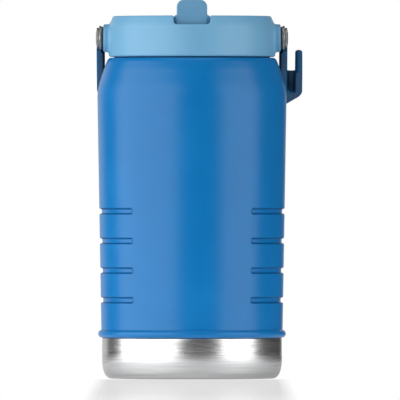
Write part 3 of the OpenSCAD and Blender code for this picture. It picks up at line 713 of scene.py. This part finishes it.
def lug_field(p):
    x, v, n = p
    eye = np.hypot(v, n) - 8.5
    tongue = np.maximum(np.abs(v - 15) - 15, np.abs(n) - 5.5)
    d2 = smin(eye, tongue, 1.2)
    for c in (17, 25):
        d2 = np.maximum(d2, 2 - np.hypot(v - c, n))
    d2 = np.maximum(d2, 3.56 - np.hypot(v, n))
    return f_extrude(d2, np.abs(x - (LUG_IN + LUG_OUT) / 2) - (LUG_OUT - LUG_IN) / 2, 0.3)


def bolt_field(p):
    x, y, z = p
    r = np.hypot(y, z)
    head = f_cyl(p, (65.25, 0, 0), 0, 7.2, 1.18, 0.5)
    dome = np.sqrt((x - 36.43) ** 2 + r ** 2) - 30.0
    head = np.maximum(head, dome)
    f = np.minimum(head, f_cyl(p, (61.8, 0, 0), 0, 3.5, 2.5, 0.2))
    f = np.minimum(f, f_cyl(p, (55.2, 0, 0), 0, 2.46, 4.2, 0.3))
    a = np.arctan2(z, y)
    k = (a + math.pi / 6) % (math.pi / 3) - math.pi / 6
    hexagon = r * np.cos(k) - 2.15
    return smax(f, -np.maximum(hexagon, 64.7 - x), 0.35)


for side, s in (("right", 1), ("left", -1)):
    def flip(v, n, s=s):
        v, n = v.copy(), n.copy()
        if s < 0:
            v[:, :2] *= -1
            n[:, :2] *= -1
        return v, n

    def lug_place(v, n, s=s):
        v, n = v.copy(), n.copy()
        if s < 0:
            v[:, 0] *= -1
            n[:, 0] *= -1
        return place_folded(v, n)
    lug = surface("lug_" + side, lug_field, (LUG_IN, -8.5, -8.5), (LUG_OUT, 30, 8.5), 0.32 * GRID, relax=1, place=lug_place)
    if s < 0:
        fix_normals(lug)
        side_normals = [lp.vector.copy() for lp in lug.data.corner_normals]
        flat = [p.normal for p in lug.data.polygons for _ in p.loop_indices]
        if sum(a.dot(b) for a, b in zip(side_normals, flat)) < 0:
            lug.data.normals_split_custom_set([-v for v in side_normals])
    dress(lug, "bright", "handle", "bright_steel", "handle_lug_" + side)
    bolt = surface("bolt_" + side, bolt_field, (51, -7.2, -7.2), (66.5, 7.2, 7.2), 0.24 * GRID, relax=1,
                   place=lambda v, n: (flip(v, n)[0] + np.array([0, 0, PIVOT_Z]), flip(v, n)[1]))
    dress(bolt, "bright", "lid", "bright_steel", "pivot_bolt_" + side)
    ring = lathe("washer_" + side, fillet([(3.56, 0.05, 0.1), (8.0, 0.05, 0.25), (8.0, 1.2, 0.25), (3.56, 1.2, 0.1)], 3), 96, sharp=50)
    import bmesh
    from mathutils import Matrix
    ring.data.transform(Matrix.Translation((s * BOSS_X * MM, 0, PIVOT_Z * MM)) @ Matrix.Rotation(s * math.pi / 2, 4, "Y"))
    dress(ring, "washer", "lid", "washer_black", "pivot_washer_" + side)


# ---------------------------------------------------------------- stage, light and camera
def make_floor():
    n = 96
    rings = [0.0, 0.15, 0.3, 0.45, 0.7, 1.0, 2.4]
    verts, faces = [(0, 0, 0)], []
    for r in rings[1:]:
        verts += [(r * math.cos(2 * math.pi * i / n) / MM, r * math.sin(2 * math.pi * i / n) / MM, 0) for i in range(n)]
    for i in range(n):
        faces.append([0, 1 + i, 1 + (i + 1) % n])
    for k in range(len(rings) - 2):
        a, b = 1 + k * n, 1 + (k + 1) * n
        faces += [[a + i, b + i, b + (i + 1) % n, a + (i + 1) % n] for i in range(n)]
    ob = new_mesh("floor", verts, faces)
    m = Mat("floor_pale", rough=0.9)
    m.t.nodes.remove(m.b)
    pale = m.node("BsdfDiffuse", Color=(0.93, 0.93, 0.93, 1))
    gloss = m.node("BsdfAnisotropic", Color=(1, 1, 1, 1), Roughness=0.07)
    glow = m.node("Emission", Color=(1, 1, 1, 1), Strength=0.28)
    a, r, z = m.polar()
    both = m.node("MixShader", i0=0.33, i1=pale.outputs[0], i2=gloss.outputs[0])
    lit = m.node("AddShader", i0=both.outputs[0], i1=glow.outputs[0])
    low = m.node("LayerWeight", Blend=0.5).outputs["Facing"]
    clear = m.math("MAXIMUM", m.remap(r, 0.17, 0.42, 0.0, 1.0), m.remap(low, 0.93, 0.968, 0.0, 1.0))
    # the floor hides nothing of the foot when it is looked at from below
    clear = m.math("MAXIMUM", clear, m.node("NewGeometry").outputs["Backfacing"])
    edge = m.node("MixShader", i0=clear, i1=lit.outputs[0], i2=m.node("BsdfTransparent").outputs[0])
    p = m.node("SeparateXYZ", Vector=m.co)
    sheen = m.math("MULTIPLY", m.remap(low, 0.94, 0.98, 0.0, 1.0), m.remap(m.math("ABSOLUTE", p.outputs[0]), 0.0585, 0.067, 1.0, 0.0))
    sheen = m.math("MULTIPLY", sheen, m.math("MULTIPLY", m.remap(p.outputs[1], -0.04, -0.08, 0.0, 1.0), m.remap(p.outputs[1], -2.2, -0.9, 0.0, 1.0)))
    mirror = m.node("BsdfAnisotropic", Color=(0.45, 0.45, 0.45, 1), Roughness=0.05)
    soft = m.node("MixShader", i0=m.math("MULTIPLY", sheen, 0.32), i1=edge.outputs[0], i2=mirror.outputs[0])
    m.t.links.new(soft.outputs[0], m.out.inputs[0])
    ob.data.materials.append(m.m)


make_floor()


def panel(name, azimuth, distance, width, height, z, power, aim=0.12, tint=(1, 1, 1)):
    a = math.radians(azimuth)
    d = bpy.data.lights.new(name, "AREA")
    d.shape = "RECTANGLE"
    d.size, d.size_y = width, height
    d.energy = power
    d.color = tint
    o = bpy.data.objects.new(name, d)
    bpy.context.scene.collection.objects.link(o)
    o.location = (distance * math.sin(a), -distance * math.cos(a), z)
    o.rotation_mode = "QUATERNION"
    o.rotation_quaternion = (Vector((0, 0, aim)) - o.location).to_track_quat("-Z", "Y")
    o.visible_camera = False
    return o


panel("key_left", -60, 1.1, 2.12, 1.3, 0.30, 18.8)
panel("key_right", 61, 1.2, 1.17, 1.3, 0.30, 9.3)
panel("top_fill", 0, 0.25, 1.2, 1.2, 1.4, 3.2)
panel("back_fill", -169, 1.6, 2.0, 0.8, 0.24, 3.2)

w = bpy.data.worlds.new("studio")
bpy.context.scene.world = w
w.use_nodes = True
t = w.node_tree
t.nodes.clear()
out = t.nodes.new("ShaderNodeOutputWorld")
seen, lit = t.nodes.new("ShaderNodeBackground"), t.nodes.new("ShaderNodeBackground")
seen.inputs[0].default_value, seen.inputs[1].default_value = (1, 1, 1, 1), 1.0
lit.inputs[0].default_value, lit.inputs[1].default_value = (1, 1, 1, 1), 0.06
path, pick = t.nodes.new("ShaderNodeLightPath"), t.nodes.new("ShaderNodeMixShader")
t.links.new(path.outputs["Is Camera Ray"], pick.inputs[0])
t.links.new(lit.outputs[0], pick.inputs[1])
t.links.new(seen.outputs[0], pick.inputs[2])
t.links.new(pick.outputs[0], out.inputs[0])

cam = bpy.data.cameras.new("camera")
cam.sensor_width = 36.0
DIST = 12.0
cam.lens = 36.0 * DIST / (400 * 0.69 * MM)
cam.clip_start, cam.clip_end = 0.5, 200
eye = bpy.data.objects.new("camera", cam)
bpy.context.scene.collection.objects.link(eye)
eye.location = (8 * 0.69 * MM, -DIST, (378.5 - 200) * 0.69 * MM)
eye.rotation_euler = (math.pi / 2, 0, 0)
bpy.context.scene.camera = eye
bpy.context.scene.view_settings.view_transform = "Standard"
bpy.context.scene.view_settings.look = "None"
